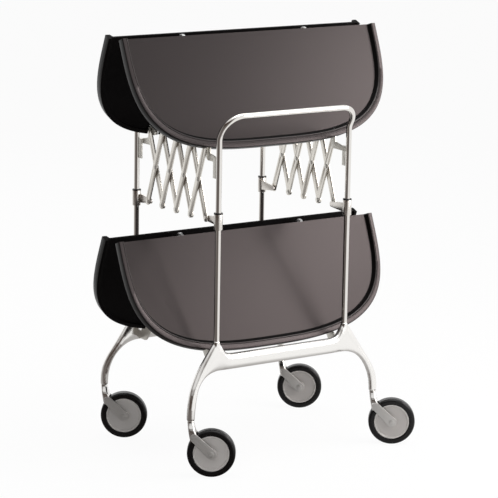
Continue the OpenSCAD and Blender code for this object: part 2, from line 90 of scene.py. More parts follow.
# Air and floor are white to the eye. Polished metal sees a dim room in front of
# it, a tall window on its right, a grey wall on its left and white paper behind.
ROOM_DIM, PAINTED_SHADOW_SHARE, WALL_GREY = (0.07, 0.05, 0.04), 0.4, 0.3
def sum_of(t, operation, a, b, clamp=False):
    node = t.nodes.new("ShaderNodeMath")
    node.operation, node.use_clamp = operation, clamp
    for socket, value in ((0, a), (1, b)):
        if isinstance(value, (int, float)):
            node.inputs[socket].default_value = value
        else:
            t.links.new(value, node.inputs[socket])
    return node.outputs[0]


def eased(t, value, start, full):
    ease = t.nodes.new("ShaderNodeMapRange")
    ease.interpolation_type = "SMOOTHSTEP"
    ease.inputs["From Min"].default_value, ease.inputs["From Max"].default_value = start, full
    t.links.new(value, ease.inputs["Value"])
    return ease.outputs["Result"]


def turned_to(t, heading, direction, start, full):
    """0 to 1 as a heading turns towards a direction."""
    dot = t.nodes.new("ShaderNodeVectorMath")
    dot.operation = "DOT_PRODUCT"
    t.links.new(heading, dot.inputs[0])
    dot.inputs[1].default_value = direction
    return eased(t, dot.outputs["Value"], start, full)


def room_colour(t, heading, more, far_off=1.0):
    """The room as metal sees it, between dim and white, with one more part."""
    paper = turned_to(t, heading, (math.sin(turn), math.cos(turn), 0), 0.1, 0.45)
    window = turned_to(t, heading, right, 0.12, 0.5)
    wall = sum_of(t, "MULTIPLY", turned_to(t, heading, -right, 0.86, 0.97), WALL_GREY)
    bright = sum_of(t, "MAXIMUM", sum_of(t, "MAXIMUM", paper, window), sum_of(t, "MAXIMUM", wall, more))
    # Where far_off is under one, the room dims towards ROOM_DIM: a painted shadow, the floor near the
    # trolley darker as metal sees it
    seen_share = sum_of(t, "ADD", sum_of(t, "MULTIPLY", far_off, 1 - PAINTED_SHADOW_SHARE), PAINTED_SHADOW_SHARE)
    room = t.nodes.new("ShaderNodeMix")
    room.data_type = "RGBA"
    room.inputs["A"].default_value = (*ROOM_DIM, 1)
    room.inputs["B"].default_value = (1, 1, 1, 1)
    t.links.new(sum_of(t, "MULTIPLY", bright, seen_share), room.inputs["Factor"])
    light = t.nodes.new("ShaderNodeLightPath")
    clear = sum_of(t, "MAXIMUM", light.outputs["Is Camera Ray"], light.outputs["Is Transmission Ray"])
    mirrored = sum_of(t, "SUBTRACT", light.outputs["Is Glossy Ray"], clear, True)
    colour = t.nodes.new("ShaderNodeMix")
    colour.data_type = "RGBA"
    colour.inputs["A"].default_value = (1, 1, 1, 1)
    t.links.new(mirrored, colour.inputs["Factor"])
    t.links.new(room.outputs["Result"], colour.inputs["B"])
    return colour.outputs["Result"], sum_of(t, "MAXIMUM", clear, mirrored)


AIR_FILL, CEILING_SHARE = 0.42, 0.9
world = bpy.data.worlds.new("studio_air")
bpy.context.scene.world = world
world.use_nodes = True
air = world.node_tree
air.nodes.clear()
heading = air.nodes.new("ShaderNodeTexCoord").outputs["Generated"]
overhead = sum_of(air, "MULTIPLY", turned_to(air, heading, (0, 0, 1), 0.4, 0.75), CEILING_SHARE)
colour, shown = room_colour(air, heading, overhead)
backdrop = air.nodes.new("ShaderNodeBackground")
air.links.new(colour, backdrop.inputs["Color"])
strength = air.nodes.new("ShaderNodeMapRange")
strength.inputs["To Min"].default_value = AIR_FILL
strength.inputs["To Max"].default_value = 1.0
air.links.new(shown, strength.inputs["Value"])
air.links.new(strength.outputs["Result"], backdrop.inputs["Strength"])
air.links.new(backdrop.outputs[0], air.nodes.new("ShaderNodeOutputWorld").inputs["Surface"])

FLOOR_HALF, FLOOR_GLOW, FLOOR_MIRRORED = 30, 0.94, 0.05
corners = [(x * FLOOR_HALF, y * FLOOR_HALF, 0) for x, y in ((-1, -1), (1, -1), (1, 1), (-1, 1))]
floor_mesh = bpy.data.meshes.new("floor")
floor_mesh.from_pydata(corners, [], [(0, 1, 2, 3)])
floor = bpy.data.objects.new("floor", floor_mesh)
bpy.context.collection.objects.link(floor)
floor_paint = bpy.data.materials.new("floor_paint")
floor_paint.use_nodes = True
tree = floor_paint.node_tree
tree.nodes.clear()
spot = tree.nodes.new("ShaderNodeTexCoord").outputs["Object"]
distance = tree.nodes.new("ShaderNodeVectorMath")
distance.operation = "LENGTH"
tree.links.new(spot, distance.inputs[0])
outbound = tree.nodes.new("ShaderNodeVectorMath")
outbound.operation = "NORMALIZE"
tree.links.new(spot, outbound.inputs[0])
# As metal sees it, the floor glows with the same room as the air and is painted darker within about
# half a metre of the trolley: a painted shadow
far_off = eased(tree, distance.outputs["Value"], 0.18, 0.55)
horizon = sum_of(tree, "MULTIPLY", far_off, FLOOR_MIRRORED)
colour, shown = room_colour(tree, outbound.outputs["Vector"], horizon, far_off)
matte = tree.nodes.new("ShaderNodeBsdfDiffuse")
matte.inputs["Color"].default_value = (0.9, 0.9, 0.9, 1)
glow = tree.nodes.new("ShaderNodeEmission")
glow.inputs["Strength"].default_value = 1.0
tree.links.new(colour, glow.inputs["Color"])
blend = tree.nodes.new("ShaderNodeMixShader")
tree.links.new(sum_of(tree, "MULTIPLY", shown, FLOOR_GLOW), blend.inputs[0])
tree.links.new(matte.outputs[0], blend.inputs[1])
tree.links.new(glow.outputs[0], blend.inputs[2])
tree.links.new(blend.outputs[0], tree.nodes.new("ShaderNodeOutputMaterial").inputs["Surface"])
floor_mesh.materials.append(floor_paint)

# Tube frames
# One polished steel tube a frame, bent outwards below the handle and round
# the two corners of the grip, with both ends pushed into the casting.
POST_X, FRAME_Y = 163.0, 156.34
TUBE_R = 6.0
TUBE_FOOT, KINK_Z, LEAN, GRIP_REACH = 258.0, 693.4, 32.0, 53.2
LOW_BEND, CORNER_BEND = 25.0, 40.0


def place(points, rear=False):
    """Front-half points from millimetres to metres, turned round for the rear half."""
    p = np.array(points, dtype=float).reshape(-1, 3)
    if rear:
        p = p * (-1, -1, 1)
    return (p + (0, MIDDLE_Y, 0)) * MM


def new_piece(name, verts, faces, *materials):
    mesh = bpy.data.meshes.new(name)
    mesh.from_pydata([tuple(v) for v in verts], [], faces)
    for m in materials:
        mesh.materials.append(m)
    piece = bpy.data.objects.new(name, mesh)
    bpy.context.collection.objects.link(piece)
    return piece


def outward(piece):
    """Merges doubles and turns every face outwards."""
    bm = bmesh.new()
    bm.from_mesh(piece.data)
    bmesh.ops.remove_doubles(bm, verts=bm.verts, dist=1e-6)
    bmesh.ops.recalc_face_normals(bm, faces=bm.faces)
    bm.to_mesh(piece.data)
    bm.free()


def settle(piece):
    """Bakes a piece's modifiers into its mesh."""
    bpy.context.view_layer.update()
    shape = piece.evaluated_get(bpy.context.evaluated_depsgraph_get())
    baked = bpy.data.meshes.new_from_object(shape)
    piece.modifiers.clear()
    piece.data = baked


def smooth(piece, angle):
    """Smooth shading with a crisp line wherever faces meet at more than the angle."""
    piece.data.shade_smooth()
    piece.data.set_sharp_from_angle(angle=math.radians(angle))
    return piece


def rod(points, radius, sides=40):
    """Rings of a round rod along a path, joined and capped."""
    path_points = np.array(points, dtype=float)
    tangents = np.gradient(path_points, axis=0)
    tangents /= np.linalg.norm(tangents, axis=1)[:, None]
    normal = np.cross(tangents[0], (0.3, 1.0, 0.2))
    rings = []
    for at, along in zip(path_points, tangents):
        normal = normal - along * normal.dot(along)
        normal /= np.linalg.norm(normal)
        across = np.cross(along, normal)
        rings.append([at + radius * (math.cos(a) * normal + math.sin(a) * across)
                      for a in np.linspace(0, 2 * math.pi, sides, endpoint=False)])
    return rings


def loft(rings):
    """Vertices and faces of a closed skin through rings of equal length."""
    n = len(rings[0])
    verts = [v for ring in rings for v in ring]
    faces = [(i * n + k, i * n + (k + 1) % n, (i + 1) * n + (k + 1) % n, (i + 1) * n + k)
             for i in range(len(rings) - 1) for k in range(n)]
    faces += [tuple(range(n - 1, -1, -1)), tuple(range((len(rings) - 1) * n, len(rings) * n))]
    return verts, faces


def shader(name, colour, metal, rough):
    paint = bpy.data.materials.new(name)
    paint.use_nodes = True
    main = paint.node_tree.nodes["Principled BSDF"]
    main.inputs["Base Color"].default_value = (*colour, 1)
    main.inputs["Metallic"].default_value = metal
    main.inputs["Roughness"].default_value = rough
    return paint, main


def grain(paint, main, scale, rough, stretch=(1, 1, 1), bump=0.0, shade=None):
    """Noise on Object coordinates that varies a finish's roughness, relief and colour."""
    t = paint.node_tree
    where = t.nodes.new("ShaderNodeTexCoord")
    turned = t.nodes.new("ShaderNodeMapping")
    turned.inputs["Scale"].default_value = stretch
    noise = t.nodes.new("ShaderNodeTexNoise")
    noise.inputs["Scale"].default_value = scale
    noise.inputs["Detail"].default_value = 4.0
    t.links.new(where.outputs["Object"], turned.inputs["Vector"])
    t.links.new(turned.outputs["Vector"], noise.inputs["Vector"])
    spread = t.nodes.new("ShaderNodeMapRange")
    spread.inputs["From Min"].default_value = 0.3
    spread.inputs["From Max"].default_value = 0.7
    spread.inputs["To Min"].default_value, spread.inputs["To Max"].default_value = rough
    t.links.new(noise.outputs["Fac"], spread.inputs["Value"])
    t.links.new(spread.outputs["Result"], main.inputs["Roughness"])
    if bump:
        relief = t.nodes.new("ShaderNodeBump")
        relief.inputs["Distance"].default_value = bump
        relief.inputs["Strength"].default_value = 1.0
        t.links.new(noise.outputs["Fac"], relief.inputs["Height"])
        t.links.new(relief.outputs["Normal"], main.inputs["Normal"])
    if shade:
        ramp = t.nodes.new("ShaderNodeMix")
        ramp.data_type = "RGBA"
        ramp.inputs["A"].default_value = (*shade[0], 1)
        ramp.inputs["B"].default_value = (*shade[1], 1)
        t.links.new(noise.outputs["Fac"], ramp.inputs["Factor"])
        t.links.new(ramp.outputs["Result"], main.inputs["Base Color"])


tube_chrome, tube_main = shader("tube_chrome", (0.80, 0.775, 0.74), 1.0, 0.08)
grain(tube_chrome, tube_main, 60, rough=(0.05, 0.1))

lean = math.radians(LEAN)
tangent = LOW_BEND * math.tan(lean / 2)


def grip_point(x, reach):
    return (x, -FRAME_Y - reach * math.sin(lean), KINK_Z + reach * math.cos(lean))


bend_z = KINK_Z - tangent
half = [(POST_X, -FRAME_Y, z) for z in np.linspace(TUBE_FOOT, bend_z, 12)]
half += [(POST_X, -FRAME_Y - LOW_BEND * (1 - math.cos(a)), bend_z + LOW_BEND * math.sin(a))
         for a in np.linspace(0, lean, 12)[1:]]
half += [grip_point(POST_X, r) for r in np.linspace(tangent, GRIP_REACH - CORNER_BEND, 4)[1:]]
half += [grip_point(POST_X - CORNER_BEND * (1 - math.cos(a)),
                    GRIP_REACH - CORNER_BEND * (1 - math.sin(a)))
         for a in np.linspace(0, math.pi / 2, 24)[1:]]
half += [grip_point(x, GRIP_REACH) for x in np.linspace(POST_X - CORNER_BEND, 0, 8)[1:]]
bow_path = half + [(-x, y, z) for x, y, z in reversed(half[:-1])]
for end, rear in (("front", False), ("rear", True)):
    verts, faces = loft(rod(place(bow_path, rear), TUBE_R * MM))
    bow = new_piece(f"{end}_tube_frame", verts, faces, tube_chrome)
    outward(bow)
    smooth(bow, 60)
    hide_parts(f"{end}_bow")
    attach(bow, f"{end}_frame")

# Arched castings
# Polished aluminium: a beam that runs out into two curved legs, with a
# flared socket for each tube. Ground and buffed, so its forms melt together.
LEG_X, LEG_Z, LEG_SPLAY, BEAM_Z = 233.0, 117.0, 13.66, 225.5
SPLAY_LOW = LEG_Z + 20
BEAM_TOP, BEAM_FOOT, BEAM_END, BEAM_HALF_DEEP, BEAM_STEPS = 242, 209, 118, 11, 8
ARCH_VOXEL, ARCH_BUFFING = 1.5, 12
RIBS = (  # outer point x and z, inner point x and z, half depth
    (241.2, 116.6, 224.8, 116.6, 7.8), (241.4, 128, 224.4, 128, 8), (240.6, 141, 223.4, 140, 8.2),
    (238.3, 155, 220.2, 156.5, 8.5), (234.2, 168.5, 215.6, 171, 8.8), (228.6, 181, 209.4, 183, 9.1),
    (221, 194, 201.6, 192.6, 9.4), (212, 208.5, 192.4, 200, 9.8), (201.5, 224.5, 182.6, 204.6, 10.2),
    (190.5, 240.5, 173.6, 207.2, 10.4), (181, 254, 166.4, 208.4, 10.4), (173.6, 264, 161, 208.9, 10.2),
    (168.4, 269, 157, 209, 10.2), (163, 270.6, 153.6, 209, 10.3), (157.6, 269, 150.4, 209, 10.4),
    (153.4, 264, 147.2, 209, 10.5), (149.6, 256.6, 143.6, 209, 10.7), (145, 250, 139.6, 209, 10.8),
    (138.6, 244.8, 134.6, 209, 10.9), (130, 242.4, 128, 209, 11), (118, 242, 118, 209, 11))
SOCKET_RINGS = (  # height and radius
    (271.9, 6.5), (271.8, 7.0), (271, 7.25), (268, 7.5), (262, 8.4), (254, 9.4), (244, 10.2),
    (232, 10.4))


def splay_y(z):
    """How far out a leg's middle stands at a height."""
    share = min(1, max(0, (BEAM_Z - z) / (BEAM_Z - SPLAY_LOW)))
    return -FRAME_Y - LEG_SPLAY * share * share * (3 - 2 * share)


def squared(c, power):
    """A sine or cosine fuller than round for powers under one."""
    return math.copysign(abs(c) ** power, c)


def rib_ring(x_out, z_out, x_in, z_in, half_deep):
    """A rounded closed rib from the casting's inner edge to its outer edge."""
    ring = []
    for a in np.linspace(0, 2 * math.pi, 40, endpoint=False):
        t = 0.5 + 0.5 * squared(math.cos(a), 0.95)
        z = z_in + (z_out - z_in) * t
        y = splay_y(z) + half_deep * squared(math.sin(a), 0.9)
        ring.append((x_in + (x_out - x_in) * t, y, z))
    return ring


right_ribs = list(RIBS)
for k in range(1, BEAM_STEPS):
    x = BEAM_END * (1 - k / BEAM_STEPS)
    right_ribs.append((x, BEAM_TOP, x, BEAM_FOOT, BEAM_HALF_DEEP))
ribs = right_ribs + [(0, BEAM_TOP, 0, BEAM_FOOT, BEAM_HALF_DEEP)]
ribs += [(-x, z, -xi, zi, d) for x, z, xi, zi, d in reversed(right_ribs)]

cast_polish, cast_main = shader("cast_polish", (0.89, 0.875, 0.85), 1.0, 0.2)
grain(cast_polish, cast_main, 90, rough=(0.17, 0.25), bump=0.00001)


def melted(name, lofts, voxel, passes, material, cut=None):
    """Joins closed skins into one, rounds where they meet, then cuts a gap with clean edges."""
    verts, faces = [], []
    for more_verts, more_faces in lofts:
        base = len(verts)
        verts += list(more_verts)
        faces += [tuple(base + i for i in f) for f in more_faces]
    piece = new_piece(name, verts, faces, material)
    outward(piece)
    remesh = piece.modifiers.new("join", "REMESH")
    remesh.mode = "VOXEL"
    remesh.voxel_size = voxel * MM
    buff = piece.modifiers.new("buff", "SMOOTH")
    buff.factor, buff.iterations = 0.5, passes
    if cut:
        slot_cut = piece.modifiers.new("cut", "BOOLEAN")
        slot_cut.operation, slot_cut.solver, slot_cut.object = "DIFFERENCE", "EXACT", cut
    settle(piece)
    if not piece.data.materials:
        piece.data.materials.append(material)
    return smooth(piece, 50)


def socket_skin(side_sign):
    """Rings of the flare around one tube."""
    return [[(side_sign * POST_X + r * math.cos(a), -FRAME_Y + r * math.sin(a), z)
             for a in np.linspace(0, 2 * math.pi, 32, endpoint=False)] for z, r in SOCKET_RINGS]


for end, rear in (("front", False), ("rear", True)):
    skins = []
    for rows in ([rib_ring(*r) for r in ribs], socket_skin(1), socket_skin(-1)):
        verts, faces = loft(rows)
        skins.append((place(verts, rear), faces))
    arch = melted(f"{end}_arch", skins, ARCH_VOXEL, ARCH_BUFFING, cast_polish)
    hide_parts(f"{end}_casting")
    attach(arch, f"{end}_frame")

# Trays
# Each tray is an oval split across its middle: a dark satin laminate panel,
# let into a moulded rim with black steps and a narrow glossy lip.
TRAY_LEAN, PIVOT_U, PIVOT_N = 22.5, 228.0, 12.0
TRAYS = {  # height of the pivots, half length, reach, roundness along and across, notch corners
    "upper": (669.35, 318.0, 244.5, 3.45, 3.4, ((-8.5, 31.6),)),
    "lower": (253.6, 323.5, 254.0, 2.9, 3.7, ((8, 34.5), (2, 24.2), (-6.5, 24.2)))}
EDGE_GAP, REACH_DRAW = 0.1, 1.25
NOTCH_X, NOTCH_FOOT, NOTCH_PAST = (156.2, 167.2), 15, 4
PANEL, RIM, STEP, UNDER, EDGE, WALL = range(6)
RIM_STEP = (  # inward from the outline, level over the hinge, finish up to the next point
    (16.2, 24.5, UNDER), (7.5, 24.5, UNDER), (7.0, 24.2, UNDER), (7.0, 20.4, UNDER),
    (6.6, 20.0, UNDER), (0.9, 20.0, STEP), (0.25, 20.3, WALL), (0.0, 21.0, WALL),
    (0.0, 34.2, WALL), (0.15, 34.8, STEP), (1.1, 35.0, STEP), (1.1, 35.8, STEP), (0.4, 36.0, RIM),
    (0.6, 36.6, RIM), (1.2, 36.9, RIM), (2.2, 37.0, RIM), (8.4, 37.0, RIM), (8.7, 36.8, STEP),
    (8.9, 36.2, STEP), (9.4, 36.2, STEP), (9.5, 36.8, RIM), (9.8, 37.0, RIM), (10.4, 36.95, EDGE),
    (11.1, 36.6, EDGE), (11.4, 36.2, STEP), (11.6, 35.9, STEP), (14.0, 29.0, STEP),
    (14.3, 28.6, STEP), (14.9, 28.5, STEP), (16.2, 28.5, PANEL))

tray_lean = math.radians(TRAY_LEAN)
lean_back = math.radians(90 - TRAY_LEAN)
hinge_rise = PIVOT_U * math.cos(tray_lean) - PIVOT_N * math.sin(tray_lean)


def tray_point(x, u, n, pivot_z):
    """A point of a folded front half: x along the hinge, u away from it, n over it."""
    return (x, -u * math.cos(lean_back) - n * math.sin(lean_back),
            pivot_z + hinge_rise - u * math.sin(lean_back) + n * math.cos(lean_back))


def oval(half_long, reach, along, across, inset, count):
    """Evenly spaced points of the half outline, drawn in by inset."""
    a = np.linspace(0, math.pi, 6001)
    x = (half_long - inset) * np.sign(np.cos(a)) * np.abs(np.cos(a)) ** (2 / along)
    u = np.maximum((reach - REACH_DRAW * inset) * np.sin(a) ** (2 / across), EDGE_GAP)
    run = np.concatenate([[0], np.cumsum(np.hypot(np.diff(x), np.diff(u)))])
    at = np.linspace(0, run[-1], count)
    return np.stack([np.interp(at, run, x), np.interp(at, run, u)], axis=1)


laminate, laminate_main = shader("tray_laminate", (0.016, 0.0125, 0.0125), 0.0, 0.4)
grain(laminate, laminate_main, 700, rough=(0.31, 0.39), bump=0.00001,
      shade=((0.006, 0.005, 0.005), (0.008, 0.0065, 0.0065)))
laminate_main.inputs["Specular Tint"].default_value = (1.0, 0.87, 0.87, 1)
laminate_main.inputs["Specular IOR Level"].default_value = 0.36
rim_skin, rim_main = shader("tray_rim", (0.01, 0.008, 0.008), 0.0, 0.36)
rim_main.inputs["Specular Tint"].default_value = (1.0, 0.87, 0.87, 1)
grain(rim_skin, rim_main, 500, rough=(0.32, 0.4), bump=0.00001)
# The rim's outer wall takes a much darker copy of the rim's colour: painted shade, for where the wall
# faces down away from the light
rim_wall_painted_shade, wall_main = shader("tray_wall", (0.0025, 0.002, 0.002), 0.0, 0.36)
wall_main.inputs["Specular IOR Level"].default_value = 0.4
grain(rim_wall_painted_shade, wall_main, 500, rough=(0.32, 0.42), bump=0.00001)
step_black, step_main = shader("tray_step", (0.003, 0.0025, 0.0025), 0.0, 0.65)
step_main.inputs["Specular IOR Level"].default_value = 0.08
grain(step_black, step_main, 400, rough=(0.6, 0.72))
under_black, under_main = shader("tray_underside", (0.003, 0.0022, 0.0024), 0.0, 0.65)
under_main.inputs["Specular IOR Level"].default_value = 0.08
grain(under_black, under_main, 300, rough=(0.6, 0.72), bump=0.00002)
rim_edge, edge_main = shader("tray_rim_edge", (0.02, 0.017, 0.016), 0.0, 0.16)
grain(rim_edge, edge_main, 300, rough=(0.12, 0.2))

COUNT = 220
for level_name, (pivot_z, half_long, reach, along, across, notch) in TRAYS.items():
    points = [tray_point(x, u, level, pivot_z) for inset, level, _ in RIM_STEP
              for x, u in oval(half_long, reach, along, across, inset, COUNT)]
    last = len(RIM_STEP) - 1
    for end, rear in (("front", False), ("rear", True)):
        faces = [(j * COUNT + i, (j + 1) * COUNT + i, (j + 1) * COUNT + i + 1, j * COUNT + i + 1)
                 for j in range(last) for i in range(COUNT - 1)]
        kinds = [RIM_STEP[j][2] for j in range(last) for i in range(COUNT - 1)]
        faces.append(tuple(last * COUNT + i for i in range(COUNT)))
        faces.append(tuple(range(COUNT - 1, -1, -1)))
        faces.append(tuple(j * COUNT for j in range(last, -1, -1)))
        faces.append(tuple(j * COUNT + COUNT - 1 for j in range(last + 1)))
        faces.append((0, COUNT - 1, last * COUNT + COUNT - 1, last * COUNT))
        kinds += [PANEL, UNDER, STEP, STEP, UNDER]
        tray = new_piece(f"{level_name}_{end}_half_tray", place(points, rear), faces,
                         laminate, rim_skin, step_black, under_black, rim_edge, rim_wall_painted_shade)
        tray.data.polygons.foreach_set("material_index", kinds)
        outward(tray)
        # Clearance notches under the rim for the bracket arms
        past = reach + NOTCH_PAST
        outline = [(PIVOT_U + notch[-1][0], NOTCH_FOOT), (past, NOTCH_FOOT), (past, notch[0][1])]
        outline += [(PIVOT_U + step, level) for step, level in notch]
        blocks, block_faces = [], []
        for sign in (-1, 1):
            rows = [[tray_point(sign * x, u, n, pivot_z) for u, n in outline] for x in NOTCH_X]
            verts, faces = loft(rows)
            block_faces += [tuple(len(blocks) + i for i in f) for f in faces]
            blocks += verts
        cutter = new_piece("notch", place(blocks, rear), block_faces, under_black)
        outward(cutter)
        cut = tray.modifiers.new("notch", "BOOLEAN")
        cut.operation, cut.solver, cut.object = "DIFFERENCE", "EXACT", cutter
        settle(tray)
        bpy.data.objects.remove(cutter)
        smooth(tray, 32)
        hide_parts(f"{level_name}_{end}_tray")
        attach(tray, f"{level_name}_{end}_half")

# Straps, brackets and collars
# Stamped steel straps under the trays, cast bracket plates on the posts and
# turned collars: each with its edges broken by a small bevel.
STRAP_BEVEL, CAST_BEVEL = 0.3, 0.5


def dressed(node, body, material, bevel):
    """The CAD solid's own shape as a new piece, with merged faces and bevelled edges."""
    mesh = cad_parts[node].data.copy()
    mesh.name = f"{node}_skin"
    bm = bmesh.new()
    bm.from_mesh(mesh)
    bmesh.ops.remove_doubles(bm, verts=bm.verts, dist=2e-6)
    bmesh.ops.dissolve_limit(bm, angle_limit=math.radians(0.4), verts=bm.verts, edges=bm.edges)
    bm.to_mesh(mesh)
    bm.free()
    mesh.materials.clear()
    mesh.materials.append(material)
    piece = bpy.data.objects.new(f"{node}_piece", mesh)
    bpy.context.collection.objects.link(piece)
    edge = piece.modifiers.new("edge", "BEVEL")
    edge.width, edge.segments, edge.limit_method = bevel * MM, 2, "ANGLE"
    edge.angle_limit = math.radians(40)
    edge.use_clamp_overlap = True
    settle(piece)
    smooth(piece, 32)
    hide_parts(node)
    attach(piece, body)


strap_steel, strap_main = shader("strap_steel", (0.52, 0.52, 0.52), 1.0, 0.3)
grain(strap_steel, strap_main, 220, rough=(0.24, 0.36), bump=0.00001)
bracket_skin, bracket_main = shader("bracket_satin", (0.66, 0.64, 0.59), 0.7, 0.36)
grain(bracket_skin, bracket_main, 260, rough=(0.3, 0.42), bump=0.00002)
collar_chrome, collar_main = shader("collar_chrome", (0.74, 0.71, 0.67), 1.0, 0.28)
grain(collar_chrome, collar_main, 90, rough=(0.24, 0.34))
ring_black, ring_main = shader("ring_black", (0.012, 0.012, 0.012), 0.0, 0.4)
grain(ring_black, ring_main, 300, rough=(0.35, 0.5))

for end in ("front", "rear"):
    for level_name in ("upper", "lower"):
        dressed(f"{level_name}_{end}_straps", f"{level_name}_{end}_half", strap_steel,
                STRAP_BEVEL)
        dressed(f"{end}_{level_name}_brackets", f"{end}_frame", bracket_skin, CAST_BEVEL)
    for hand in ("left", "right"):
        slide = f"{end}_{hand}_slide"
        dressed(f"{end}_{hand}_collar", slide, collar_chrome, CAST_BEVEL)
        dressed(f"{end}_{hand}_ring", slide, ring_black, CAST_BEVEL)

# Lattices
# Flat satin nickel bars in two layers, eight a side, pinned at their ends
# and middles by rivets with low domed heads.
END_Y, PITCH = 108.8384, 54.4192
TOP_Z, BAR_LENGTH = 674.0, 163.0
LOW_Z = TOP_Z - math.sqrt(BAR_LENGTH ** 2 - PITCH ** 2)
OUTER_FACE, INNER_FACE = 165.7, 160.2
DOME_R, DOME_RISE = 4.6, 1.35
BAR_BEVEL = 0.15

nickel, nickel_main = shader("lattice_nickel", (0.72, 0.69, 0.635), 1.0, 0.27)
grain(nickel, nickel_main, 160, stretch=(1, 4, 1), rough=(0.22, 0.32), bump=0.00001)
rivet_metal, rivet_main = shader("rivet_metal", (0.66, 0.65, 0.62), 1.0, 0.2)
grain(rivet_metal, rivet_main, 300, rough=(0.16, 0.26))


def dome_tree(name, material):
    """Geometry Nodes: a low dome on each vertex of the input, lying across X."""
    t = bpy.data.node_groups.new(name, "GeometryNodeTree")
    t.interface.new_socket("Geometry", in_out="INPUT", socket_type="NodeSocketGeometry")
    for label, value in (("Dome Radius", DOME_R * MM), ("Dome Rise", DOME_RISE * MM)):
        socket = t.interface.new_socket(label, in_out="INPUT", socket_type="NodeSocketFloat")
        socket.default_value = value
    t.interface.new_socket("Geometry", in_out="OUTPUT", socket_type="NodeSocketGeometry")
    given, result = t.nodes.new("NodeGroupInput"), t.nodes.new("NodeGroupOutput")
    dots = t.nodes.new("GeometryNodeMeshToPoints")
    ball = t.nodes.new("GeometryNodeMeshUVSphere")
    ball.inputs["Segments"].default_value = 28
    ball.inputs["Rings"].default_value = 14
    ball.inputs["Radius"].default_value = 1.0
    shape = t.nodes.new("ShaderNodeCombineXYZ")
    flat = t.nodes.new("GeometryNodeTransform")
    put = t.nodes.new("GeometryNodeInstanceOnPoints")
    real = t.nodes.new("GeometryNodeRealizeInstances")
    soft = t.nodes.new("GeometryNodeSetShadeSmooth")
    paint = t.nodes.new("GeometryNodeSetMaterial")
    paint.inputs["Material"].default_value = material
    link = t.links.new
    link(given.outputs["Geometry"], dots.inputs["Mesh"])
    link(given.outputs["Dome Rise"], shape.inputs["X"])
    link(given.outputs["Dome Radius"], shape.inputs["Y"])
    link(given.outputs["Dome Radius"], shape.inputs["Z"])
    link(ball.outputs["Mesh"], flat.inputs["Geometry"])
    link(shape.outputs[0], flat.inputs["Scale"])
    link(dots.outputs["Points"], put.inputs["Points"])
    link(flat.outputs["Geometry"], put.inputs["Instance"])
    link(put.outputs["Instances"], real.inputs["Geometry"])
    link(real.outputs["Geometry"], soft.inputs["Geometry"])
    link(soft.outputs["Geometry"], paint.inputs["Geometry"])
    link(paint.outputs["Geometry"], result.inputs["Geometry"])
    return t


rivet_domes = dome_tree("rivet_domes", rivet_metal)


def top(i):
    return (END_Y - i * PITCH, TOP_Z)


def low(i):
    return (END_Y - i * PITCH, LOW_Z)


def cross(i):
    return (END_Y - (i - 0.5) * PITCH, (TOP_Z + LOW_Z) / 2)


def domes(name, points, body):
    """One dome on each of the given points, in metres, as a piece of one body."""
    piece = new_piece(name, points, [])
    grow = piece.modifiers.new("domes", "NODES")
    grow.node_group = rivet_domes
    sockets = {s.name: s.identifier for s in rivet_domes.interface.items_tree if s.in_out == "INPUT"}
    grow[sockets["Dome Radius"]] = DOME_R * MM
    grow[sockets["Dome Rise"]] = DOME_RISE * MM
    settle(piece)
    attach(piece, body)


# Which rivets each of the right side's falling bars owns; the left side is
# the right side turned round, so its rising bars own them there.
owned = {1: [cross(1), low(1)], 2: [cross(2), top(1), low(2)],
         3: [cross(3), top(2), low(3)], 4: [cross(4), top(3)]}
for hand, rear in (("right", False), ("left", True)):
    for i in range(1, 5):
        letter = "abcd"[i - 1] if hand == "right" else "dcba"[i - 1]
        strong = f"{hand}_{'fall' if hand == 'right' else 'rise'}"
        weak = f"{hand}_{'rise' if hand == 'right' else 'fall'}"
        dressed(f"{strong}_bar_{letter}", f"{strong}_{letter}", nickel, BAR_BEVEL)
        dressed(f"{weak}_bar_{letter}", f"{weak}_{letter}", nickel, BAR_BEVEL)
        # The middle rivets part into halves, so these bars carry no inner head there
        heads = [(OUTER_FACE, y, z) for y, z in owned[i]]
        heads += [(INNER_FACE, y, z) for y, z in owned[i] if (y, z) not in (top(2), low(2))]
        domes(f"{strong}_rivets_{letter}", place(heads, rear), f"{strong}_{letter}")

# Casters
# A cast fork, buffed where it straddles the wheel and satin on its flat
# cheeks, over a smooth black tyre on a grey disc, with a steel axle.
TRAIL, TRAIL_TURN, WHEEL_R, TYRE_W = 43.0, -35.54, 50.0, 25.0
CHEEK_IN, CHEEK_OUT, GAP_R = 13.5, 16.8, 52.5
CROWN_VOXEL, CROWN_BUFFING, WHEEL_SIDES = 0.7, 4, 96
CROWN = (  # height, middle and half width along the trail, half width across, roundness
    (116.6, 0.0, 6.9, 6.75, 0.8), (113.0, 0.4, 7.0, 7.6, 0.75), (108.0, 1.1, 7.1, 10.4, 0.6),
    (103.0, 1.8, 7.3, 13.6, 0.5), (98.0, 2.8, 7.5, 15.8, 0.42), (92.0, 4.7, 8.2, 16.6, 0.36),
    (86.0, 6.7, 9.1, 16.6, 0.34), (81.0, 8.3, 9.8, 16.6, 0.34), (75.5, 9.8, 10.0, 16.6, 0.34))

fork_polish, fork_main = shader("fork_polish", (0.8, 0.79, 0.77), 1.0, 0.2)
grain(fork_polish, fork_main, 120, rough=(0.15, 0.26), bump=0.00003)
cheek_satin, cheek_main = shader("cheek_satin", (0.5, 0.49, 0.475), 0.55, 0.42)
grain(cheek_satin, cheek_main, 300, rough=(0.36, 0.5), bump=0.00002)
tyre_rubber, tyre_main = shader("tyre_rubber", (0.004, 0.0035, 0.0038), 0.0, 0.3)
tyre_main.inputs["Specular IOR Level"].default_value = 0.3
grain(tyre_rubber, tyre_main, 260, rough=(0.24, 0.36), bump=0.00001)
disc_grey, disc_main = shader("disc_grey", (0.47, 0.45, 0.435), 0.0, 0.42)
grain(disc_grey, disc_main, 240, rough=(0.36, 0.48), bump=0.00001)
disc_edge, disc_line_main = shader("disc_edge", (0.6, 0.58, 0.56), 0.3, 0.35)
grain(disc_edge, disc_line_main, 240, rough=(0.3, 0.4))


